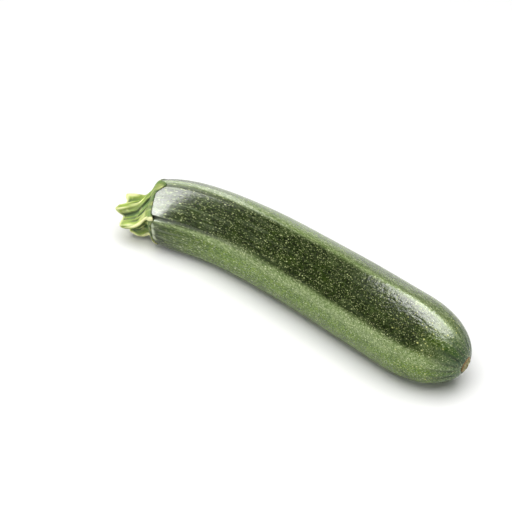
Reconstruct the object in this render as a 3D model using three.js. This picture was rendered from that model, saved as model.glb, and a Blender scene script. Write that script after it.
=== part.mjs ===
// A courgette, picked with its stem stub, lying on one of its flatter sides.
// Millimetres, +Z up. The fruit lies along X, with the stem at -X and the blossom end at +X.
// Each body starts as a lathe about a straight line. A formula then raises the ridges from it,
// carries it along the fruit's bent middle line, and flattens it where it lies on the surface.
import * as THREE from "three";

// Fruit
const FRUIT_LENGTH = 199; // along the middle line, from the stem to the blossom end
const STEM_SIDE_RADIUS = 19.3;
const BLOSSOM_SIDE_RADIUS = 21.2;
const SHOULDER_LENGTH = 26; // from the stem end to the full body
const CAP_LENGTH = 40; // from the full body to the blossom end
const CAP_BLUNTNESS = 2.4; // 2 is an ellipse
const FRUIT_SEGMENTS = 80;
const FRUIT_RINGS = 44;

// Bend of the middle line: the neck turns to one side, the body leans to the same side a
// little, and the blossom end turns away and droops
const NECK_BEND = { start: 130, side: 16.5, drop: 0.8, power: 4.5 };
const BODY_LEAN = { start: 100, end: 195, side: 1.9 };
const CAP_BEND = { side: -3.5, drop: 3 };

// Five ridges run from the stem to the blossom end
const RIDGE_HEIGHT = 0.04; // share of the radius, above and below the mean
const RIDGE_ROUNDING = 0.24; // 0 is a sharp crest
const RIDGE_ROLL = THREE.MathUtils.degToRad(21.5); // from the side that the neck bends to
const RIDGE_SKEW = THREE.MathUtils.degToRad(6); // one side is narrower than the others
const RIDGE_SKEW_FROM = THREE.MathUtils.degToRad(36);

// Collar, where the skin makes a lip round the stem
const COLLAR_RADIUS = 15;
const COLLAR_LIP = 1.2; // width of the lip
const COLLAR_DEPTH = 1; // from the lip to the face that the stem grows from

// Stem stub
const STEM_LENGTH = 15.5;
const STEM_FOOT_RADIUS = 13.3;
const STEM_WAIST_RADIUS = 9.4;
const STEM_CUT_RADIUS = 8.6;
const STEM_CUT_HOLLOW = 1;
const STEM_RIB_HEIGHT = { foot: 0.05, cut: 0.2 };
const STEM_RIB_ROUNDING = 0.12;
const STEM_TWIST = -0.7; // radians, from foot to cut
const STEM_LEAN = { side: 2.2, drop: 3.4, over: 9 }; // off the fruit's line, just past the foot
const STEM_SLANT = 2.2; // how far the cut leans out on the side of the longest rib
const STEM_LONG_RIB = { reach: 2.5, turn: (2 * Math.PI) / 5 }; // stands out past the cut
const STEM_SEGMENTS = 60;
const STEM_RINGS = 12;

// Blossom scar
const SCAR_RADIUS = 4.3;
const SCAR_HEIGHT = 0.7; // above the skin round it
const SCAR_SEAT_RADIUS = 4.8;
const SCAR_SEAT_DEPTH = 0.9;
const SCAR_SEGMENTS = 30;

const GAP = 0.3; // between two bodies that grow together
const FLAT_DEPTH = 0.3; // how much the weight presses the skin flat on the surface
const RIDGES = 5;

const skinColour = new THREE.MeshStandardMaterial({ color: "#3f5a24", roughness: 0.35, metalness: 0 });
const stemColour = new THREE.MeshStandardMaterial({ color: "#a3b452", roughness: 0.6, metalness: 0 });
const scarColour = new THREE.MeshStandardMaterial({ color: "#b09a63", roughness: 0.85, metalness: 0 });

const { clamp, lerp, smoothstep } = THREE.MathUtils;

// Radius of the body at a station, without its two rounded ends.
function bodyRadius(station) {
  return lerp(STEM_SIDE_RADIUS, BLOSSOM_SIDE_RADIUS, smoothstep(station, 0, FRUIT_LENGTH));
}

// Radius of the fruit: the body, narrowed at the shoulder and closed by the cap.
function fruitRadius(station) {
  const shoulder = clamp(1 - station / SHOULDER_LENGTH, 0, 1);
  const cap = clamp((station - (FRUIT_LENGTH - CAP_LENGTH)) / CAP_LENGTH, 0, 1);
  const full = lerp(COLLAR_RADIUS, bodyRadius(station), (1 - shoulder ** 2.6) ** 0.45);
  return full * Math.sqrt(1 - cap ** CAP_BLUNTNESS);
}

// 1 on the crest of a ridge, -1 in the middle of the side between two ridges.
function crest(turn, rounding) {
  const away = Math.hypot(Math.sin((RIDGES * turn) / 2), rounding) - rounding;
  return 1 - (2 * away) / (Math.hypot(1, rounding) - rounding);
}

// Angle round the middle line of a point whose place among the ridges is turn.
function ridgeAngle(turn) {
  return turn + RIDGE_ROLL - RIDGE_SKEW * Math.sin(turn - RIDGE_SKEW_FROM);
}

// How low the widest part of the underside hangs below the middle line, as a share of the radius.
const UNDERSIDE = 1 - RIDGE_HEIGHT;

// The middle line, with its direction. It runs on through the stem, which leans off it.
function middleLine(station) {
  const s = Math.max(station, 0);
  const neck = clamp(1 - s / NECK_BEND.start, 0, 1);
  const cap = clamp((s - (FRUIT_LENGTH - CAP_LENGTH)) / CAP_LENGTH, 0, 1);
  const bend = neck ** NECK_BEND.power;
  const bendRate = (NECK_BEND.power * neck ** (NECK_BEND.power - 1)) / NECK_BEND.start;
  const capRate = (2 * cap) / CAP_LENGTH;
  const lean = smoothstep(s, BODY_LEAN.start, BODY_LEAN.end);
  const height = bodyRadius(s) * UNDERSIDE - FLAT_DEPTH;
  const centre = new THREE.Vector3(
    s,
    -NECK_BEND.side * bend - BODY_LEAN.side * lean - CAP_BEND.side * cap ** 2,
    height - NECK_BEND.drop * bend - CAP_BEND.drop * cap ** 2,
  );
  const along = new THREE.Vector3(
    1,
    NECK_BEND.side * bendRate - CAP_BEND.side * capRate,
    NECK_BEND.drop * bendRate - CAP_BEND.drop * capRate,
  ).normalize();
  centre.addScaledVector(along, station - s);
  const stemLean = smoothstep(-station, 0, STEM_LEAN.over);
  centre.addScaledVector(new THREE.Vector3(along.y, -along.x, 0), STEM_LEAN.side * stemLean);
  centre.z -= STEM_LEAN.drop * stemLean;
  return { centre, along };
}

// A point at a distance and an angle from the middle line, no lower than the surface.
function place(station, radius, angle) {
  const { centre, along } = middleLine(station);
  const side = new THREE.Vector3().crossVectors(along, new THREE.Vector3(0, 0, 1)).normalize();
  const up = new THREE.Vector3().crossVectors(side, along);
  const point = centre
    .addScaledVector(side, radius * Math.cos(angle))
    .addScaledVector(up, radius * Math.sin(angle));
  point.z = Math.max(point.z, 0);
  return point;
}

// Turns a profile of (radius, station) points round the line and moves each vertex with move.
function grow(profile, segments, move) {
  const geometry = new THREE.LatheGeometry(profile, segments);
  geometry.deleteAttribute("normal");
  geometry.deleteAttribute("uv");
  const points = geometry.getAttribute("position");
  for (let i = 0; i < points.count; i++) {
    const [x, station, z] = [points.getX(i), points.getY(i), points.getZ(i)];
    const moved = move(station, Math.hypot(x, z), Math.atan2(z, x));
    points.setXYZ(i, moved.x, moved.y, moved.z);
  }
  geometry.computeVertexNormals();
  return geometry;
}

// Station at which the cap has closed to the scar's seat.
const seatShare = SCAR_SEAT_RADIUS / BLOSSOM_SIDE_RADIUS;
const capEnd = FRUIT_LENGTH - CAP_LENGTH * (1 - (1 - seatShare ** 2) ** (1 / CAP_BLUNTNESS));

// Ring stations stand close together at both ends, where the skin turns in.
function fruitProfile() {
  const profile = [
    new THREE.Vector2(0, COLLAR_DEPTH),
    new THREE.Vector2(COLLAR_RADIUS - COLLAR_LIP, COLLAR_DEPTH),
    new THREE.Vector2(COLLAR_RADIUS - COLLAR_LIP / 2, 0),
  ];
  for (let i = 0; i <= FRUIT_RINGS; i++) {
    const share = i / FRUIT_RINGS;
    const eased = share - (0.75 * Math.sin(2 * Math.PI * share)) / (2 * Math.PI);
    const station = lerp(COLLAR_LIP / 3, capEnd, eased);
    profile.push(new THREE.Vector2(fruitRadius(station), station));
  }
  profile.push(new THREE.Vector2(SCAR_SEAT_RADIUS - GAP, capEnd - SCAR_SEAT_DEPTH));
  profile.push(new THREE.Vector2(0, capEnd - SCAR_SEAT_DEPTH));
  return profile;
}

function fruitGeometry() {
  return grow(fruitProfile(), FRUIT_SEGMENTS, (station, radius, turn) => {
    const nearTip = smoothstep(station, FRUIT_LENGTH - CAP_LENGTH, FRUIT_LENGTH);
    const height = RIDGE_HEIGHT * (1 - 0.7 * nearTip);
    return place(station, radius * (1 + height * crest(turn, RIDGE_ROUNDING)), ridgeAngle(turn));
  });
}

// Radius of the stem at a distance out from the fruit: a wide foot, a waist and a wider cut end.
function stemRadius(out) {
  const share = clamp(out / STEM_LENGTH, 0, 1);
  const foot = (STEM_FOOT_RADIUS - STEM_WAIST_RADIUS) * (1 - share) ** 3;
  const cut = (STEM_CUT_RADIUS - STEM_WAIST_RADIUS) * share ** 3;
  return STEM_WAIST_RADIUS + foot + cut;
}

function stemProfile() {
  const profile = [
    new THREE.Vector2(0, GAP - COLLAR_DEPTH),
  ];
  for (let i = 0; i <= STEM_RINGS; i++) {
    const out = lerp(GAP - COLLAR_DEPTH, STEM_LENGTH - 1, i / STEM_RINGS);
    profile.push(new THREE.Vector2(stemRadius(out), out));
  }
  profile.push(new THREE.Vector2(STEM_CUT_RADIUS - 1, STEM_LENGTH));
  profile.push(new THREE.Vector2(STEM_CUT_RADIUS / 2, STEM_LENGTH - STEM_CUT_HOLLOW));
  profile.push(new THREE.Vector2(0, STEM_LENGTH - STEM_CUT_HOLLOW));
  return profile.reverse().map((p) => new THREE.Vector2(p.x, -p.y));
}

// The ribs carry on from the fruit's ridges and twist, and one stands out past a slanting cut.
function stemGeometry() {
  return grow(stemProfile(), STEM_SEGMENTS, (station, radius, turn) => {
    const share = clamp(-station / STEM_LENGTH, 0, 1);
    const height = lerp(STEM_RIB_HEIGHT.foot, STEM_RIB_HEIGHT.cut, Math.sqrt(share));
    const fromLongRib = Math.cos(turn - STEM_LONG_RIB.turn);
    const outer = radius / STEM_CUT_RADIUS;
    const longRib = STEM_LONG_RIB.reach * Math.max(fromLongRib, 0) ** 12 * outer ** 2;
    const reach = (longRib + STEM_SLANT * fromLongRib * outer) * share ** 3;
    return place(
      station - reach,
      radius * (1 + height * crest(turn, STEM_RIB_ROUNDING)),
      ridgeAngle(turn) + STEM_TWIST * share,
    );
  });
}

// A low corky ring round a hollow, seated in the blossom end.
function scarGeometry() {
  const seat = capEnd - SCAR_SEAT_DEPTH + GAP;
  const top = capEnd + SCAR_HEIGHT;
  const profile = [
    new THREE.Vector2(0, seat),
    new THREE.Vector2(SCAR_RADIUS - GAP, seat),
    new THREE.Vector2(SCAR_RADIUS, capEnd),
    new THREE.Vector2(SCAR_RADIUS * 0.88, top - 0.2),
    new THREE.Vector2(SCAR_RADIUS * 0.7, top),
    new THREE.Vector2(SCAR_RADIUS * 0.5, top - 0.3),
    new THREE.Vector2(SCAR_RADIUS * 0.25, top - 0.8),
    new THREE.Vector2(0, top - 0.8),
  ];
  return grow(profile, SCAR_SEGMENTS, (station, radius, turn) => place(station, radius, ridgeAngle(turn)));
}

const courgette = new THREE.Group();
const pieces = [
  ["fruit", fruitGeometry(), skinColour],
  ["stem_stub", stemGeometry(), stemColour],
  ["blossom_scar", scarGeometry(), scarColour],
];
for (const [name, geometry, material] of pieces) {
  const mesh = new THREE.Mesh(geometry, material);
  mesh.name = name;
  courgette.add(mesh);
}

// The origin is under the middle of the whole courgette, on the surface.
const middle = new THREE.Box3().setFromObject(courgette).getCenter(new THREE.Vector3());
courgette.position.set(-middle.x, -middle.y, 0);

export default courgette;
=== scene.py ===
# %% [markdown]
# # A courgette, lying on its side
#
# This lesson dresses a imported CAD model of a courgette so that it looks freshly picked. The CAD
# has three solids: the fruit, the stub of its stem, and the scar that the flower left. Each is
# replaced by a finer piece of the same size, and each gets the surface of the real thing.

import math

import bmesh
import bpy
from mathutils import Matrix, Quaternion, Vector, noise


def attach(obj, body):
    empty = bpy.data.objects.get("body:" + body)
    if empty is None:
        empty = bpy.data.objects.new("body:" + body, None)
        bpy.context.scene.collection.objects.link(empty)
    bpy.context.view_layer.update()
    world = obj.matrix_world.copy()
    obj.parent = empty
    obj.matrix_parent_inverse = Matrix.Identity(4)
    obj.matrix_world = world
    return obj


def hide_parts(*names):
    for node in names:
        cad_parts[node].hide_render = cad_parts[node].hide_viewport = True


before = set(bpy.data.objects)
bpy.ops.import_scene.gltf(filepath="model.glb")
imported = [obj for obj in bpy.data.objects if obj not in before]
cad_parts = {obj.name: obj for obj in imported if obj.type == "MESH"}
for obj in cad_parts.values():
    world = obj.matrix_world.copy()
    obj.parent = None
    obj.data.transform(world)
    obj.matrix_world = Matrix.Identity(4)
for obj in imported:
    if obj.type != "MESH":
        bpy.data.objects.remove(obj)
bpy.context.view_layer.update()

# %% [markdown]
# ## The camera
#
# The camera comes first, because it decides which details matter. It stands a metre away with a
# long lens, as a still-life photographer would, so that the two ends of the fruit keep their
# proportions. It looks down at the fruit from the front right, from over the blossom end.

# %% Place the camera
CAMERA_TURN = math.radians(44.0)
CAMERA_RISE = math.radians(38.5)
CAMERA_DISTANCE = 1.0
CAMERA_TARGET = Vector((-0.02538, -0.00176, 0.018))

towards_camera = Vector((
    math.sin(CAMERA_TURN) * math.cos(CAMERA_RISE),
    -math.cos(CAMERA_TURN) * math.cos(CAMERA_RISE),
    math.sin(CAMERA_RISE),
))
camera = bpy.data.objects.new("camera", bpy.data.cameras.new("camera"))
camera.data.sensor_width = 36
camera.data.lens = 135.6
camera.location = CAMERA_TARGET + towards_camera * CAMERA_DISTANCE
camera.rotation_euler = towards_camera.to_track_quat("Z", "Y").to_euler()
bpy.context.scene.collection.objects.link(camera)
bpy.context.scene.camera = camera
print("camera at", tuple(round(value, 3) for value in camera.location))

# %% [markdown]
# ## The middle line
#
# A courgette grows as a straight tube that then bends. Everything on it follows that bend: the
# ridges, the furrows and the streaks in the skin. So each piece is made straight first, and one
# function carries it along a curved middle line. The numbers are those of the CAD model, in
# millimetres. The function gives metres, about the model's own origin.

# %% Bend of the fruit
MM = 0.001
LENGTH = 199
CAP = 40
STEM_LENGTH = 15.5
STEM_SIDE_RADIUS = 19.3
BLOSSOM_SIDE_RADIUS = 21.2
RIDGES = 5
RIDGE_HEIGHT = 0.04
RIDGE_ROLL = math.radians(21.5)
RIDGE_SKEW = math.radians(6)
RIDGE_SKEW_FROM = math.radians(36)
FLAT_DEPTH = 0.3
NECK_LENGTH = 130
NECK_BEND = 16.5
NECK_BEND_POWER = 4.5
NECK_DROP = 0.8
BODY_LEAN = 1.9
TIP_TURN = 3.5
TIP_DROOP = 3
STEM_LEAN = 2.2
STEM_LEAN_LENGTH = 9
STEM_SINK = 3.4
ORIGIN = Vector((92.079, -7.183, 0))


def clamp(value, low=0.0, high=1.0):
    return min(max(value, low), high)


def smooth(value, low, high):
    share = clamp((value - low) / (high - low))
    return share * share * (3 - 2 * share)


def mix(low, high, share):
    return low + (high - low) * share


def body_radius(station):
    return mix(STEM_SIDE_RADIUS, BLOSSOM_SIDE_RADIUS, smooth(station, 0, LENGTH))


def middle_line(station):
    """Centre and direction of the middle line, a number of millimetres from the stem end."""
    s = max(station, 0)
    neck = clamp(1 - s / NECK_LENGTH)
    cap = clamp((s - (LENGTH - CAP)) / CAP)
    bend = neck ** NECK_BEND_POWER
    bend_rate = NECK_BEND_POWER * neck ** (NECK_BEND_POWER - 1) / NECK_LENGTH
    cap_rate = 2 * cap / CAP
    centre = Vector((
        s,
        -NECK_BEND * bend - BODY_LEAN * smooth(s, 100, 195) + TIP_TURN * cap ** 2,
        body_radius(s) * (1 - RIDGE_HEIGHT) - FLAT_DEPTH - NECK_DROP * bend - TIP_DROOP * cap ** 2,
    ))
    along = Vector((
        1,
        NECK_BEND * bend_rate + TIP_TURN * cap_rate,
        NECK_DROP * bend_rate - TIP_DROOP * cap_rate,
    ))
    along.normalize()
    centre += along * (station - s)
    lean = smooth(-station, 0, STEM_LEAN_LENGTH)
    centre += Vector((along.y, -along.x, 0)) * (STEM_LEAN * lean)
    centre.z -= STEM_SINK * lean
    return centre, along


def ridge_angle(turn):
    """Angle round the middle line, from the front, of a place among the ridges."""
    return turn + RIDGE_ROLL - RIDGE_SKEW * math.sin(turn - RIDGE_SKEW_FROM)


def place(station, radius, angle):
    """The point of the model at a station, a radius and an angle round the middle line."""
    centre, along = middle_line(station)
    side = along.cross(Vector((0, 0, 1))).normalized()
    up = side.cross(along)
    point = centre + side * (radius * math.cos(angle)) + up * (radius * math.sin(angle))
    point.z = max(point.z, 0)
    return (point - ORIGIN) * MM


print("tip of the middle line:", tuple(round(value, 4) for value in place(LENGTH, 0, 0)))

# %% [markdown]
# ## Turning a straight piece
#
# Fruit, stem and scar are all round about the middle line, so each starts as a profile: a chain
# of points, a radius and a station each. Blender's spin operator turns the chain into a tube.
# It merges the last turn with the first, and the doubled points on the axis are merged after it.
# Then every point is moved by a rule of its own.
#
# The straight position of each point is kept in an attribute called grown. The skin's pattern
# reads it, so streaks and speckles run along the fruit and follow its bend, as they do when it
# grows.

# %% Spin a profile and move it
def spin_profile(name, profile, segments, shape):
    """Turns a profile of (station, radius) points. shape gives each point's final place."""
    mesh = bmesh.new()
    chain = [mesh.verts.new((station, radius, 0)) for station, radius in profile]
    edges = [mesh.edges.new(pair) for pair in zip(chain, chain[1:])]
    bmesh.ops.spin(
        mesh, geom=chain + edges, cent=(0, 0, 0), axis=(1, 0, 0), dvec=(0, 0, 0),
        angle=2 * math.pi, steps=segments, use_merge=True, use_duplicate=False,
    )
    bmesh.ops.remove_doubles(mesh, verts=mesh.verts, dist=1e-4)
    grown = mesh.verts.layers.float_vector.new("grown")
    traits = mesh.verts.layers.float_vector.new("traits")
    for vert in mesh.verts:
        station, radius = vert.co.x, math.hypot(vert.co.y, vert.co.z)
        turn = math.atan2(vert.co.z, vert.co.y)
        vert[grown] = vert.co * MM
        vert.co, vert[traits] = shape(station, radius, turn)
    mesh.normal_update()
    bmesh.ops.recalc_face_normals(mesh, faces=mesh.faces)
    volume = mesh.calc_volume(signed=True)
    piece = bpy.data.objects.new(name, bpy.data.meshes.new(name))
    mesh.to_mesh(piece.data)
    mesh.free()
    piece.data.shade_smooth()
    bpy.context.scene.collection.objects.link(piece)
    finish = piece.modifiers.new("finish", "SUBSURF")
    finish.levels = finish.render_levels = 1
    print(name, "has", len(piece.data.polygons), "faces before its subdivision")
    # a volume above zero also says that the faces look outward
    print("its volume is", round(volume * 1e6, 2), "cubic centimetres")
    return piece


def crest(turn, rounding):
    """1 on the crest of a ridge, -1 half way to the next one."""
    away = math.hypot(math.sin(RIDGES * turn / 2), rounding) - rounding
    return 1 - 2 * away / (math.hypot(1, rounding) - rounding)


# %% [markdown]
# ## The fruit
#
# The body is a tube with five soft ridges. At the stem end it turns in over a round shoulder to
# a lip, which stands round the foot of the stem. At the other end it closes in a blunt cap, with
# a shallow seat for the blossom scar.
#
# A sculpted mesh would also do, but a formula keeps the ridges even and puts the points where
# the detail is. Fine furrows start between the ribs of the stem and fade out along the neck, and
# shorter ones gather round the blossom scar. Most are a few tenths of a millimetre deep, and one
# short one under the shoulder over 2 mm, so they are real shape and not only bump.

# %% Profile of the fruit
COLLAR_RADIUS = 15.0
COLLAR_LIP = 1.2
COLLAR_DEPTH = 1.0
SHOULDER = 26
CAP_BLUNTNESS = 2.4
SEAT_RADIUS = 4.8
SEAT_DEPTH = 0.9
RINGS = 112
SEGMENTS = 180

CAP_END = LENGTH - CAP * (
    1 - (1 - (SEAT_RADIUS / BLOSSOM_SIDE_RADIUS) ** 2) ** (1 / CAP_BLUNTNESS)
)


def fruit_radius(station):
    shoulder = clamp(1 - station / SHOULDER)
    cap = clamp((station - (LENGTH - CAP)) / CAP)
    full = mix(COLLAR_RADIUS, body_radius(station), (1 - shoulder ** 2.6) ** 0.45)
    return full * math.sqrt(1 - cap ** CAP_BLUNTNESS)


fruit_profile = [
    (COLLAR_DEPTH + 0.2, 0),
    (COLLAR_DEPTH + 0.2, 6),
    (COLLAR_DEPTH + 0.2, COLLAR_RADIUS - COLLAR_LIP - 0.5),
    (COLLAR_DEPTH * 0.6, COLLAR_RADIUS - COLLAR_LIP),
    (0.1, COLLAR_RADIUS - COLLAR_LIP * 0.8),
    (-0.1, COLLAR_RADIUS - COLLAR_LIP * 0.5),
    (0.0, COLLAR_RADIUS - COLLAR_LIP * 0.2),
]
for ring in range(RINGS + 1):
    share = ring / RINGS
    eased = share - 0.75 * math.sin(2 * math.pi * share) / (2 * math.pi)
    station = mix(0.25, CAP_END, eased)
    fruit_profile.append((station, fruit_radius(station)))
fruit_profile += [
    (CAP_END - SEAT_DEPTH * 0.3, SEAT_RADIUS - 0.35),
    (CAP_END - SEAT_DEPTH, SEAT_RADIUS - 0.6),
    (CAP_END - SEAT_DEPTH, 2),
    (CAP_END - SEAT_DEPTH, 0),
]
print("profile points:", len(fruit_profile), "cap closes at", round(CAP_END, 2), "mm")

# %% Furrows of the skin
# Each furrow: its turn and width in degrees, then its depth and length in millimetres.
NECK_FURROWS = [
    (67, 1.4, 0.3, 75), (75, 1.6, 0.14, 44), (88, 2.6, 0.2, 30), (-2, 2.3, 2.4, 18),
    (-1, 2.2, 0.3, 110), (-14, 2.6, 0.16, 34), (20, 2.6, 0.12, 22), (44, 2.8, 0.1, 20),
    (-26, 2.6, 0.2, 28), (-44, 3.0, 0.2, 30), (106, 2.6, 0.25, 40), (128, 2.6, 0.2, 26),
    (144, 3.0, 0.4, 34), (163, 2.6, 0.2, 28), (184, 2.6, 0.25, 36), (205, 2.6, 0.2, 24),
    (216, 3.2, 0.45, 30), (240, 2.6, 0.2, 26), (262, 2.8, 0.22, 30), (288, 3.2, 0.4, 32),
]
TIP_FURROWS = 15
TIP_FURROW_LENGTH = 15
TIP_FURROW_DEPTH = 0.32


def turn_apart(turn, degrees):
    """Degrees between a turn in radians and one in degrees, the short way round."""
    return abs((math.degrees(turn) - degrees + 180) % 360 - 180)


def furrow_depth(station, turn):
    depth = 0.0
    for degrees, width, deep, length in NECK_FURROWS:
        apart = turn_apart(turn, degrees)
        if apart < width * 3 and station < length:
            fade = (1 - max(station, 0) / length) ** 1.2 * smooth(station, -0.5, 1.5)
            depth += deep * math.exp(-((apart / width) ** 2)) * fade
    from_tip = (CAP_END - station) / TIP_FURROW_LENGTH
    if from_tip < 1:
        wander = 0.25 * math.sin(turn * 4 + 1)
        groove = 0.5 + 0.5 * math.cos(TIP_FURROWS * (turn + wander / RIDGES))
        fade = (1 - clamp(from_tip)) * smooth(from_tip, -0.05, 0.2)
        depth += TIP_FURROW_DEPTH * groove ** 3 * fade
    return depth


# %% Sides of the fruit, and its shape
# The middle of the underside, in degrees, and how far the shoulder swells, in millimetres.
UNDERSIDE = -68
SWELL = 0.3


def underneath(turn):
    return smooth(34 - turn_apart(turn, UNDERSIDE), 0, 20)


def dark_and_shaded_side(station, turn):
    """1 on the dark sides, 0 on the pale ones. The change is on the ridges. Part of it is painted
    shade.
    """
    stem_side = 10 * clamp(1 - station / 60)
    first = smooth(41 + stem_side / 2 - turn_apart(turn, 36 - stem_side / 2), 0, 12)
    second = smooth(41 - turn_apart(turn, 180), 0, 12)
    # painted shade: the pale side on top is painted darker towards the tip, where it reflects less,
    # and the one below is painted darker underneath, partly its own fuller green and partly shade
    upper = smooth(40 - turn_apart(turn, 108), 0, 14) * smooth(station, 85, 135)
    under = underneath(turn)
    near_tip = smooth(station, 172, 194)
    return max(first * (1 - 0.45 * near_tip), 0.7 * second, 0.5 * upper, 0.35 * under)


def shape_fruit(station, radius, turn):
    near_tip = smooth(station, LENGTH - CAP, LENGTH)
    ridge = crest(turn, 0.2)
    # away from its ridges a pale side turns to a fuller green, sooner near the stem, where it is
    # partly painted shade
    fuller = smooth(mix(0.7, -0.2, clamp(station / 150)) - ridge, 0, 0.9)
    fuller = max(fuller, underneath(turn))
    furrow = 0
    if station > 0.2 and radius > SEAT_RADIUS * 0.98:
        uneven = noise.noise(Vector((station / 28, math.cos(turn) * 1.3, math.sin(turn) * 1.3)))
        furrow = furrow_depth(station, turn)
        radius += 0.15 * uneven * smooth(station, 2, 12) - furrow
    radius *= 1 + RIDGE_HEIGHT * (1 - 0.7 * near_tip) * ridge
    # between the ribs the shoulder swells towards the stem
    swell = SWELL * (1 - ridge) / 2 * smooth(9 - station, 0, 9)
    where = place(station - swell, radius, ridge_angle(turn))
    # near the stem the fuller green is painted darker still, as painted shade
    dark_and_shaded = max(dark_and_shaded_side(station, turn), fuller * 0.9 * clamp(1.1 - station / 45))
    # painted highlight: the rim of the shoulder under the deep furrow is painted paler, where it
    # catches the light
    rim = smooth(station, 1, 2) * smooth(5 - station, 0, 2)
    rim *= smooth(26 - turn_apart(turn, -34), 0, 8)
    return where, (clamp(furrow * 3) - rim, dark_and_shaded, fuller)


fruit = spin_profile("ridged_fruit", fruit_profile, SEGMENTS, shape_fruit)
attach(fruit, "root")
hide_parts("fruit")

# %% [markdown]
# ## The stem stub
#
# The stem is five-sided, with a sharp rib on each corner. The ribs carry on from the ridges of
# the fruit, and each one's foot reaches out over the shoulder like a claw. The stub was broken
# and cut by hand, so its end is ragged and one rib is longer than the others.

# %% Shape the stem
STEM_FOOT_RADIUS = 13.3
STEM_WAIST_RADIUS = 9.4
STEM_CUT_RADIUS = 8.6
STEM_RIB = (0.06, 0.2)
STEM_TWIST = -0.7
STEM_SLANT = 2.2
LONG_RIB = math.radians(72)
LONG_RIB_REACH = 2.5
FOOT_THICKNESS = 0.55
STEM_RINGS = 34
STEM_SEGMENTS = 150


def stem_radius(out):
    share = clamp(out / STEM_LENGTH)
    foot = (STEM_FOOT_RADIUS - STEM_WAIST_RADIUS) * (1 - share) ** 3
    return STEM_WAIST_RADIUS + foot + (STEM_CUT_RADIUS - STEM_WAIST_RADIUS) * share ** 3


def foot_reach(turn):
    """Millimetres that the foot reaches over the shoulder: farthest under the longest rib."""
    long_one = 5.2 * max(1 - turn_apart(turn, 66) / 17, 0)
    others = [2.0 * max(1 - turn_apart(turn, 72 * rib - 6) / 14, 0) for rib in (0, 2, 3, 4)]
    return 1.5 + max(long_one, *others)


def shape_stem(station, radius, turn):
    share = clamp(-station / STEM_LENGTH)
    outer = radius / stem_radius(-station)
    # a rib is rounded, and the groove between two ribs is narrow
    rib = (crest(turn, 0.12) - crest(turn + math.pi / RIDGES, 0.1)) / 2
    height = mix(STEM_RIB[0], STEM_RIB[1], math.sqrt(share))
    around = Vector((math.cos(turn), math.sin(turn), 0))
    lumps = noise.noise(around * 2.2 + Vector((0, 5, station / 6)))
    strands = noise.noise(around * 6 + Vector((3, 0, station / 12)))
    wrinkles = noise.noise(around * 9 + Vector((7, 2, station / 5)))
    uneven = 0.09 * lumps + 0.12 * strands + 0.05 * wrinkles
    grown_radius = radius * (1 + outer * (height * rib + uneven))
    from_long_rib = math.cos(turn - LONG_RIB)
    # the foot flares and lies on the shoulder
    flare = smooth(station, -3, 0.6) * smooth(outer, 0.8, 1)
    station_out = station + foot_reach(turn) * flare
    shoulder = fruit_radius(max(station_out, 0)) * (1 + RIDGE_HEIGHT * crest(turn, 0.2))
    lying = smooth(station_out, -1.8, 0.2) * smooth(outer, 0.8, 1)
    grown_radius = mix(grown_radius, shoulder + FOOT_THICKNESS, lying)
    # the cut end slants, and its ribs and knobs stand out unevenly
    long_rib = LONG_RIB_REACH * max(from_long_rib, 0) ** 10 * outer ** 2
    ragged = noise.noise(around * 2.5 + Vector((0, 0, radius / 5 + 9)))
    knobs = 1.3 * max(rib, -0.5) * outer ** 2
    slant = STEM_SLANT * from_long_rib * outer
    reach = share ** 3 * (long_rib + slant + knobs + 1.6 * ragged * outer)
    angle = ridge_angle(turn) + STEM_TWIST * share
    cut = smooth(-station, STEM_LENGTH - 1.6, STEM_LENGTH - 0.4)
    where = place(station_out - reach, grown_radius, angle)
    return where, (rib + 2 * strands + 1.2 * wrinkles, cut, share)


stem_profile = [
    (1 - STEM_LENGTH, 0),
    (1 - STEM_LENGTH, 2),
    (0.9 - STEM_LENGTH, STEM_CUT_RADIUS * 0.45),
    (0.2 - STEM_LENGTH, STEM_CUT_RADIUS * 0.7),
    (-STEM_LENGTH, STEM_CUT_RADIUS - 0.8),
]
for ring in range(STEM_RINGS + 1):
    station = mix(0.6 - STEM_LENGTH, 0.7, ring / STEM_RINGS)
    stem_profile.append((station, stem_radius(-station)))
stem_profile += [(0.75, 10), (0.75, 5), (0.75, 0)]
stem = spin_profile("ribbed_stem_stub", stem_profile, STEM_SEGMENTS, shape_stem)
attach(stem, "root")
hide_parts("stem_stub")

# %% [markdown]
# ## The blossom scar
#
# Where the flower fell off, a ring of cork closes the wound. It is a low rough crater, a little
# proud of the skin.

# %% Shape the scar
SCAR_RADIUS = 4.3
SCAR_TOP = CAP_END + 0.7
SCAR_STEPS = 10
SCAR_SEGMENTS = 60


def shape_scar(station, radius, turn):
    share = radius / SCAR_RADIUS
    crumb = noise.noise(Vector((math.cos(turn) * share * 3, math.sin(turn) * share * 3, station)))
    cracks = 0.22 * math.cos(turn * 11 + 2 * math.sin(turn * 3)) * share ** 2
    lifted = station + (0.35 * crumb + cracks * 0.6) * smooth(station, CAP_END - 0.4, SCAR_TOP)
    uneven_radius = radius * (1 + 0.06 * math.cos(turn * 3 + 1))
    return place(lifted, uneven_radius, ridge_angle(turn)), (share, 0, 0)


scar_seat = CAP_END - SEAT_DEPTH + 0.3
scar_profile = [
    (scar_seat, 0), (scar_seat, 2), (scar_seat, SCAR_RADIUS - 0.4), (CAP_END, SCAR_RADIUS),
]
for step in range(SCAR_STEPS + 1):
    share = 1 - step / SCAR_STEPS
    rim = math.exp(-(((share - 0.72) / 0.2) ** 2))
    height = CAP_END + 0.1 + 0.55 * rim - 0.25 * (1 - share)
    scar_profile.append((height, SCAR_RADIUS * 0.95 * share))
scar = spin_profile("corky_blossom_scar", scar_profile, SCAR_SEGMENTS, shape_scar)
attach(scar, "root")
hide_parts("blossom_scar")

# %% [markdown]
# ## Helpers for materials
#
# Colours are given as sRGB hex values, as a colour picker shows them, and turned to the linear
# values that the shader needs. One function adds a node with its settings and its links.

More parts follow.
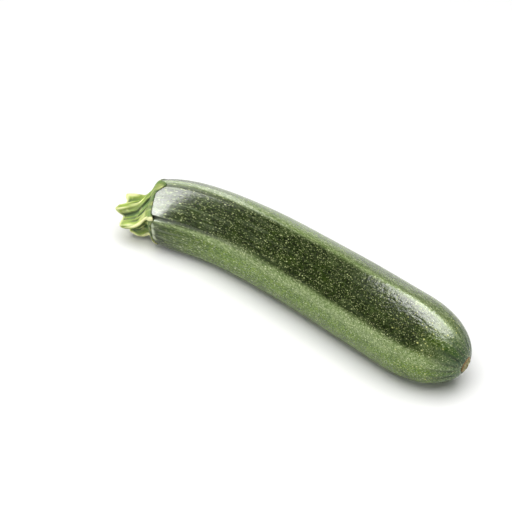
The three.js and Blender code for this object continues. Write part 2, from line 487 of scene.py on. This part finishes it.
# %% Colour and node helpers
def linear(hex_colour):
    parts = [int(hex_colour[i:i + 2], 16) / 255 for i in (1, 3, 5)]
    return [p / 12.92 if p <= 0.04045 else ((p + 0.055) / 1.055) ** 2.4 for p in parts] + [1]


def add(tree, kind, settings=None, links=None):
    """Adds a node. A setting is a property of the node or one of its inputs."""
    made = tree.nodes.new(kind)
    for name, value in (settings or {}).items():
        if isinstance(name, str) and hasattr(made, name):
            setattr(made, name, value)
        else:
            made.inputs[name].default_value = value
    for name, source in (links or {}).items():
        tree.links.new(source, made.inputs[name])
    return made


# The Mix node has sockets for every kind of data. These are its colour sockets.
MIX_LOW, MIX_HIGH, MIX_RESULT = 6, 7, 2


def mixed(tree, share, low, high):
    """Mixes two colours, each a value or an output of a node."""
    settings, links = {"data_type": "RGBA"}, {0: share}
    for socket, colour in ((MIX_LOW, low), (MIX_HIGH, high)):
        (settings if isinstance(colour, list) else links)[socket] = colour
    return add(tree, "ShaderNodeMix", settings, links).outputs[MIX_RESULT]


def new_material(name):
    material = bpy.data.materials.new(name)
    material.use_nodes = True
    material.node_tree.nodes.clear()
    return material, material.node_tree


# %% [markdown]
# ## The skin
#
# The skin is a thin waxy layer over dark green flesh. It is glossy, but not smooth: tiny dimples
# break up the gloss. Pale speckles a half to one millimetre across cover it, drawn out into
# dashes near the stem, where the fruit grew fastest. Fine streaks run along the neck.
#
# A photograph could be wrapped round the fruit, but it would repeat and blur. Node patterns in
# the straight coordinates stay sharp and cover the whole fruit, its underside too.

# %% Courgette skin
def speck_layer(tree, vector, spacing, small, large, bare):
    """Pale dots, one in most of the cells of a pattern. Size and paleness are random."""
    cell = add(tree, "ShaderNodeTexVoronoi", {"Scale": 1 / spacing}, {"Vector": vector})
    chance = add(tree, "ShaderNodeSeparateColor", links={0: cell.outputs["Color"]})
    edge = add(tree, "ShaderNodeMapRange", {"To Min": small, "To Max": large},
               {0: chance.outputs[0]})
    dot = add(tree, "ShaderNodeMapRange", {
        "interpolation_type": "SMOOTHSTEP", "From Min": 0.06, "To Min": 1.0, "To Max": 0.0,
    }, {0: cell.outputs["Distance"], "From Max": edge.outputs[0]})
    light = add(tree, "ShaderNodeMapRange", {"From Min": bare, "From Max": 1.0, "To Max": 1.5},
                {0: chance.outputs[1]})
    return add(tree, "ShaderNodeMath", {"operation": "MULTIPLY", "use_clamp": True},
               {0: dot.outputs[0], 1: light.outputs[0]}).outputs[0]


skin, tree = new_material("waxy courgette skin")
grown = add(tree, "ShaderNodeAttribute", {"attribute_name": "grown"})
traits = add(tree, "ShaderNodeAttribute", {"attribute_name": "traits"})
straight = add(tree, "ShaderNodeSeparateXYZ", links={0: grown.outputs["Vector"]})
trait = add(tree, "ShaderNodeSeparateXYZ", links={0: traits.outputs["Vector"]})

# Speckles are drawn out near the stem: the pattern's own length grows faster towards the tip.
rate = add(tree, "ShaderNodeMath", {"operation": "MULTIPLY_ADD", 1: 1.9, 2: 0.25},
           {0: straight.outputs["X"]})
pattern_x = add(tree, "ShaderNodeMath", {"operation": "MULTIPLY"},
                {0: straight.outputs["X"], 1: rate.outputs[0]})
pattern = add(tree, "ShaderNodeCombineXYZ", links={
    "X": pattern_x.outputs[0], "Y": straight.outputs["Y"], "Z": straight.outputs["Z"],
})

# Most cells hold a speck: large cells of 1 mm, and fine ones of 0.6 mm between them.
large_specks = speck_layer(tree, pattern.outputs[0], 0.001, 0.12, 0.4, 0.2)
fine_specks = speck_layer(tree, pattern.outputs[0], 0.0006, 0.3, 0.65, 0.3)
speck_mask = add(tree, "ShaderNodeMath", {
    "operation": "MULTIPLY_ADD", 1: 0.55, "use_clamp": True,
}, {0: fine_specks, 2: large_specks})
# Towards the blossom end stand some creamy ones, in cells of 1.7 mm.
cream_specks = speck_layer(tree, pattern.outputs[0], 0.0017, 0.12, 0.38, 0.3)
near_tip = add(tree, "ShaderNodeMapRange", {"From Min": 0.15, "From Max": 0.18},
               {0: straight.outputs["X"]})
cream_mask = add(tree, "ShaderNodeMath", {"operation": "MULTIPLY"},
                 {0: cream_specks, 1: near_tip.outputs[0]})
# The grain between them is 0.9 mm.
grain = add(tree, "ShaderNodeTexNoise", {"Scale": 1 / 0.0009, "Detail": 2.0, "Roughness": 0.7},
            {"Vector": pattern.outputs[0]})
grain_share = add(tree, "ShaderNodeMapRange", {"From Min": 0.42, "From Max": 0.66, "To Max": 0.85},
                  {0: grain.outputs["Fac"]})

# Mottling is 5 to 8 mm across, and the streaks are about 1 mm apart and 30 mm long.
mottle = add(tree, "ShaderNodeTexNoise", {"Scale": 1 / 0.007, "Detail": 4.0, "Roughness": 0.6},
             {"Vector": pattern.outputs[0]})
drawn = add(tree, "ShaderNodeVectorMath", {"operation": "MULTIPLY", 1: (0.05, 1, 1)},
            {0: grown.outputs["Vector"]})
streaks = add(tree, "ShaderNodeTexNoise", {"Scale": 1 / 0.0016, "Detail": 3.0, "Roughness": 0.6},
              {"Vector": drawn.outputs[0]})

# Ground colour: deep green on the dark sides, a greyish pale green beside the ridges and a fuller
# green between them. The pale sides also take painted shade: underneath, near the stem and on top
# towards the tip. The edges waver with the mottling.
waver = add(tree, "ShaderNodeMath", {"operation": "MULTIPLY_ADD", 1: 0.7, 2: -0.35},
            {0: mottle.outputs["Fac"]})
dark_and_shaded = add(tree, "ShaderNodeMath", {"operation": "ADD", "use_clamp": True},
            {0: trait.outputs["Y"], 1: waver.outputs[0]})
less_waver = add(tree, "ShaderNodeMath", {"operation": "MULTIPLY_ADD", 1: 0.4},
                 {0: waver.outputs[0], 2: trait.outputs["Z"]})
fuller = add(tree, "ShaderNodeClamp", links={0: less_waver.outputs[0]})
pale_ground = mixed(tree, fuller.outputs[0], linear("#5f763a"), linear("#3c5a0a"))
pale_grain = mixed(tree, fuller.outputs[0], linear("#a6b67c"), linear("#819c2e"))
ground = mixed(tree, dark_and_shaded.outputs[0], pale_ground, linear("#111906"))
pale = mixed(tree, dark_and_shaded.outputs[0], pale_grain, linear("#2d3b14"))
mottled = mixed(tree, grain_share.outputs[0], ground, pale)
streak_share = add(tree, "ShaderNodeMapRange", {"From Min": 0.5, "From Max": 0.72, "To Max": 0.5},
                   {0: streaks.outputs["Fac"]})
neckness = add(tree, "ShaderNodeMapRange", {"From Min": 0.09, "From Max": 0.0, "To Min": 0.15},
               {0: straight.outputs["X"]})
streak_mask = add(tree, "ShaderNodeMath", {"operation": "MULTIPLY"},
                  {0: streak_share.outputs[0], 1: neckness.outputs[0]})
streaked = mixed(tree, streak_mask.outputs[0], mottled, linear("#8e9d76"))
tip_share = add(tree, "ShaderNodeMapRange", {"From Min": 0.186, "From Max": 0.197, "To Max": 0.6},
                {0: straight.outputs["X"]})
tipped = mixed(tree, tip_share.outputs[0], streaked, linear("#33503a"))
# The first centimetre of the neck has hardly any.
speck_strength = add(tree, "ShaderNodeMapRange", {"From Min": 0.002, "From Max": 0.014,
                                                  "To Min": 0.2, "To Max": 0.92},
                     {0: straight.outputs["X"]})
speck_share = add(tree, "ShaderNodeMath", {"operation": "MULTIPLY"},
                  {0: speck_mask.outputs[0], 1: speck_strength.outputs[0]})
speck_colour = mixed(tree, dark_and_shaded.outputs[0], linear("#e4eabd"), linear("#bfc98c"))
finely = mixed(tree, speck_share.outputs[0], tipped, speck_colour)
speckled = mixed(tree, cream_mask.outputs[0], finely, linear("#c9cc7e"))
# Painted shade: a furrow is painted dark all through, and a negative furrow value marks the
# shoulder's rim, painted pale as a highlight.
furrow_shade_share = add(tree, "ShaderNodeMath", {"operation": "MULTIPLY", 1: 0.9, "use_clamp": True},
                   {0: trait.outputs["X"]})
# Painted highlight: the shoulder's rim is painted pale.
rim_share = add(tree, "ShaderNodeMath", {"operation": "MULTIPLY", 1: -0.8, "use_clamp": True},
                {0: trait.outputs["X"]})
rimmed = mixed(tree, rim_share.outputs[0], speckled, linear("#c3cdae"))
furrow_shaded = mixed(tree, furrow_shade_share.outputs[0], rimmed, linear("#121b08"))

# Dimples just under 2 mm across, and the grain between the speckles slightly proud.
dimples = add(tree, "ShaderNodeTexNoise", {"Scale": 1 / 0.0019, "Detail": 2.5, "Roughness": 0.55},
              {"Vector": grown.outputs["Vector"]})
relief = add(tree, "ShaderNodeMath", {"operation": "MULTIPLY_ADD", 1: 0.12},
             {0: grain.outputs["Fac"], 2: dimples.outputs["Fac"]})
bumpy = add(tree, "ShaderNodeMapRange", {"From Min": 0.09, "From Max": 0.15,
                                         "To Min": 0.16, "To Max": 0.55},
            {0: straight.outputs["X"]})
bump = add(tree, "ShaderNodeBump", {"Distance": 0.0006},
           {"Strength": bumpy.outputs[0], "Height": relief.outputs[0]})
shine = add(tree, "ShaderNodeMapRange", {"From Min": 0.3, "From Max": 0.7,
                                         "To Min": 0.18, "To Max": 0.26},
            {0: mottle.outputs["Fac"]})
dull = add(tree, "ShaderNodeMath", {"operation": "MULTIPLY_ADD", 1: 0.5},
           {0: furrow_shade_share.outputs[0], 2: shine.outputs[0]})
surface = add(tree, "ShaderNodeBsdfPrincipled", {
    "IOR": 1.36, "Specular IOR Level": 0.5,
}, {"Base Color": furrow_shaded, "Roughness": dull.outputs[0], "Normal": bump.outputs[0]})
add(tree, "ShaderNodeOutputMaterial", links={"Surface": surface.outputs[0]})
fruit.data.materials.append(skin)

# %% [markdown]
# ## The stem's skin
#
# The stem is yellow-green, with pale ribs and darker green grooves, fine lines along it, and short
# stiff hairs that leave it matt. The grooves are partly their own darker green and partly painted
# shade, the foot is painted dark as shade where it meets the fruit, and the rib crests and pale
# blotches are painted highlights. Its cut face is paler, and drying at the rim.

# %% Courgette stem
stem_skin, tree = new_material("fibrous courgette stem")
grown = add(tree, "ShaderNodeAttribute", {"attribute_name": "grown"})
traits = add(tree, "ShaderNodeAttribute", {"attribute_name": "traits"})
trait = add(tree, "ShaderNodeSeparateXYZ", links={0: traits.outputs["Vector"]})
drawn = add(tree, "ShaderNodeVectorMath", {"operation": "MULTIPLY", 1: (0.12, 1, 1)},
            {0: grown.outputs["Vector"]})
# Fibres about 0.8 mm apart, and blotches 4 mm across, painted pale as highlights.
fibres = add(tree, "ShaderNodeTexNoise", {"Scale": 1 / 0.0013, "Detail": 3.0},
             {"Vector": drawn.outputs[0]})
highlight_blotches = add(tree, "ShaderNodeTexNoise", {"Scale": 1 / 0.004, "Detail": 3.0},
               {"Vector": grown.outputs["Vector"]})
# Painted shade: the grooves are painted near black, partly their own darker green and partly shade.
rib_share = add(tree, "ShaderNodeMapRange", {"From Min": -0.7, "From Max": 1.0},
                {0: trait.outputs["X"]})
ribbed_with_groove_shade = mixed(tree, rib_share.outputs[0], linear("#172903"), linear("#7f932c"))
# Painted shade: the foot is painted dark where it meets the fruit.
foot_shade_share = add(tree, "ShaderNodeMapRange", {"From Min": 0.4, "From Max": 0.0, "To Max": 0.85},
                 {0: trait.outputs["Z"]})
foot_shaded = mixed(tree, foot_shade_share.outputs[0], ribbed_with_groove_shade, linear("#293c14"))
# Painted highlight: the rib crests are painted pale.
crest_highlight_share = add(tree, "ShaderNodeMapRange", {"From Min": 0.7, "From Max": 1.4, "To Max": 0.8},
                  {0: trait.outputs["X"]})
crest_highlighted = mixed(tree, crest_highlight_share.outputs[0], foot_shaded, linear("#dcdaa0"))
# Painted highlight: pale blotches are painted over the stem.
highlight_blotch_share = add(tree, "ShaderNodeMapRange", {"From Min": 0.52, "From Max": 0.72, "To Max": 0.6},
                   {0: highlight_blotches.outputs["Fac"]})
highlight_blotched = mixed(tree, highlight_blotch_share.outputs[0], crest_highlighted, linear("#c2c673"))
fibre_share = add(tree, "ShaderNodeMapRange", {"From Min": 0.5, "From Max": 0.75, "To Max": 0.6},
                  {0: fibres.outputs["Fac"]})
fibred = mixed(tree, fibre_share.outputs[0], highlight_blotched, linear("#47631a"))
faced = mixed(tree, trait.outputs["Y"], fibred, linear("#c3c883"))
bump = add(tree, "ShaderNodeBump", {"Strength": 0.5, "Distance": 0.0006},
           {"Height": fibres.outputs["Fac"]})
surface = add(tree, "ShaderNodeBsdfPrincipled", {
    "IOR": 1.3, "Roughness": 0.65, "Subsurface Weight": 0.06, "Subsurface Scale": 0.002,
    "Subsurface Radius": (0.6, 1.0, 0.2),
}, {"Base Color": faced, "Normal": bump.outputs[0]})
add(tree, "ShaderNodeOutputMaterial", links={"Surface": surface.outputs[0]})
stem.data.materials.append(stem_skin)

# %% [markdown]
# ## Cork
#
# The scar is dry cork: tan, with darker brown cracks and no gloss.

# %% Blossom scar cork
cork, tree = new_material("dry scar cork")
grown = add(tree, "ShaderNodeAttribute", {"attribute_name": "grown"})
crumbs = add(tree, "ShaderNodeTexNoise", {"Scale": 1 / 0.0012, "Detail": 4.0},
             {"Vector": grown.outputs["Vector"]})
crumb_share = add(tree, "ShaderNodeMapRange", {"From Min": 0.35, "From Max": 0.65},
                  {0: crumbs.outputs["Fac"]})
crumbed = mixed(tree, crumb_share.outputs[0], linear("#77693f"), linear("#b3b184"))
bump = add(tree, "ShaderNodeBump", {"Strength": 0.6, "Distance": 0.0006},
           {"Height": crumbs.outputs["Fac"]})
traits = add(tree, "ShaderNodeAttribute", {"attribute_name": "traits"})
from_centre = add(tree, "ShaderNodeSeparateXYZ", links={0: traits.outputs["Vector"]})
rim_share = add(tree, "ShaderNodeMapRange", {"From Min": 0.7, "From Max": 0.95, "To Max": 0.8},
                {0: from_centre.outputs["X"]})
rimmed = mixed(tree, rim_share.outputs[0], crumbed, linear("#7d5a2c"))
surface = add(tree, "ShaderNodeBsdfPrincipled", {"Roughness": 0.85, "IOR": 1.4},
              {"Base Color": rimmed, "Normal": bump.outputs[0]})
add(tree, "ShaderNodeOutputMaterial", links={"Surface": surface.outputs[0]})
scar.data.materials.append(cork)

# %% [markdown]
# ## Floor and light
#
# The set is a white sheet under soft studio light. Two large softboxes, one overhead and one in
# front, light the sheet and the colours, and are hidden from reflections. Waxy skin is a weak
# mirror, so its sheen comes from what it reflects: a bright ring round the horizon, a darker
# ceiling that keeps the sunny side deep green, and three small lamps close by that show in the
# skin alone. The first makes the long gloss near the blossom end, the second the sheen on the
# shoulder, and the third a faint one on the far side of the neck. They stand near, because the
# courgette lies flat here and a far lamp would draw its gloss along the whole fruit. Each has a
# grid on it that narrows its beam, so that it doesn't glare along the skin from other sides.

# %% Floor
floor_mesh = bmesh.new()
bmesh.ops.create_grid(floor_mesh, x_segments=1, y_segments=1, size=4)
floor = bpy.data.objects.new("floor", bpy.data.meshes.new("floor"))
floor_mesh.to_mesh(floor.data)
floor_mesh.free()
bpy.context.scene.collection.objects.link(floor)
paper, tree = new_material("matt white paper")
surface = add(tree, "ShaderNodeBsdfPrincipled", {"Base Color": linear("#f1f1f0"), "Roughness": 0.9,
                                                "Specular IOR Level": 0.1})
add(tree, "ShaderNodeOutputMaterial", links={"Surface": surface.outputs[0]})
floor.data.materials.append(paper)

# %% Sky of the studio
world = bpy.data.worlds.new("studio")
world.use_nodes = True
tree = world.node_tree
tree.nodes.clear()
where = add(tree, "ShaderNodeTexCoord")
direction = add(tree, "ShaderNodeSeparateXYZ", links={0: where.outputs["Generated"]})
# The bright ring stands higher behind the fruit than in front of it.
ring_top = add(tree, "ShaderNodeMath", {"operation": "MULTIPLY_ADD", 1: 0.10, 2: 0.10},
               {0: direction.outputs["Y"]})
above_ring = add(tree, "ShaderNodeMath", {"operation": "SUBTRACT"},
                 {0: direction.outputs["Z"], 1: ring_top.outputs[0]})
glow = add(tree, "ShaderNodeMapRange", {"From Min": -0.06, "From Max": 0.12, "To Min": 0.3,
                                      "To Max": 0.06}, {0: above_ring.outputs[0]})
sky = add(tree, "ShaderNodeBackground", {"Color": linear("#fbfdff")}, {"Strength": glow.outputs[0]})
add(tree, "ShaderNodeOutputWorld", links={"Surface": sky.outputs[0]})
bpy.context.scene.world = world
bpy.context.scene.view_settings.view_transform = "Standard"

# %% Lamps
def softbox(name, lit, towards, distance, size, radiance, turn=0.0, only=None, beam=180):
    """A rectangular lamp that faces a point of the fruit, with its beam's full width in degrees."""
    lamp = bpy.data.objects.new(name, bpy.data.lights.new(name, "AREA"))
    lamp.data.shape = "RECTANGLE"
    lamp.data.size, lamp.data.size_y = size
    lamp.data.energy = radiance * math.pi * size[0] * size[1]
    lamp.data.spread = math.radians(beam)
    towards = Vector(towards).normalized()
    lamp.location = Vector(lit) + towards * distance
    facing = towards.to_track_quat("Z", "Y") @ Quaternion((0, 0, 1), turn)
    lamp.rotation_euler = facing.to_euler()
    lamp.visible_glossy = only != "colour"
    lamp.visible_diffuse = only != "gloss"
    lamp.visible_camera = False
    bpy.context.scene.collection.objects.link(lamp)
    print(name, "lamp, metres:", tuple(round(value, 3) for value in lamp.location))


softbox("overhead", (0, 0, 0), (0.12, -0.08, 1), 1.6, (1.8, 1.8), 4.0, only="colour")
softbox("front fill", (0, 0, 0.02), (-0.35, -0.85, 0.3), 1.4, (1.2, 0.6), 2.8, only="colour")
softbox("gloss", (0.086, 0.031, 0.04), (-0.01, 0.19, 1), 0.075, (0.155, 0.108), 13.5,
        only="gloss", beam=140)
softbox("shoulder", (-0.099, -0.0015, 0.033), (-0.34, -0.95, 0.8), 0.04, (0.04, 0.13), 16,
        turn=0.3, only="gloss", beam=120)
softbox("back left", (-0.085, 0.0, 0.035), (-0.62, 0.6, 0.4), 0.12, (0.12, 0.15), 0.9,
        only="gloss", beam=80)
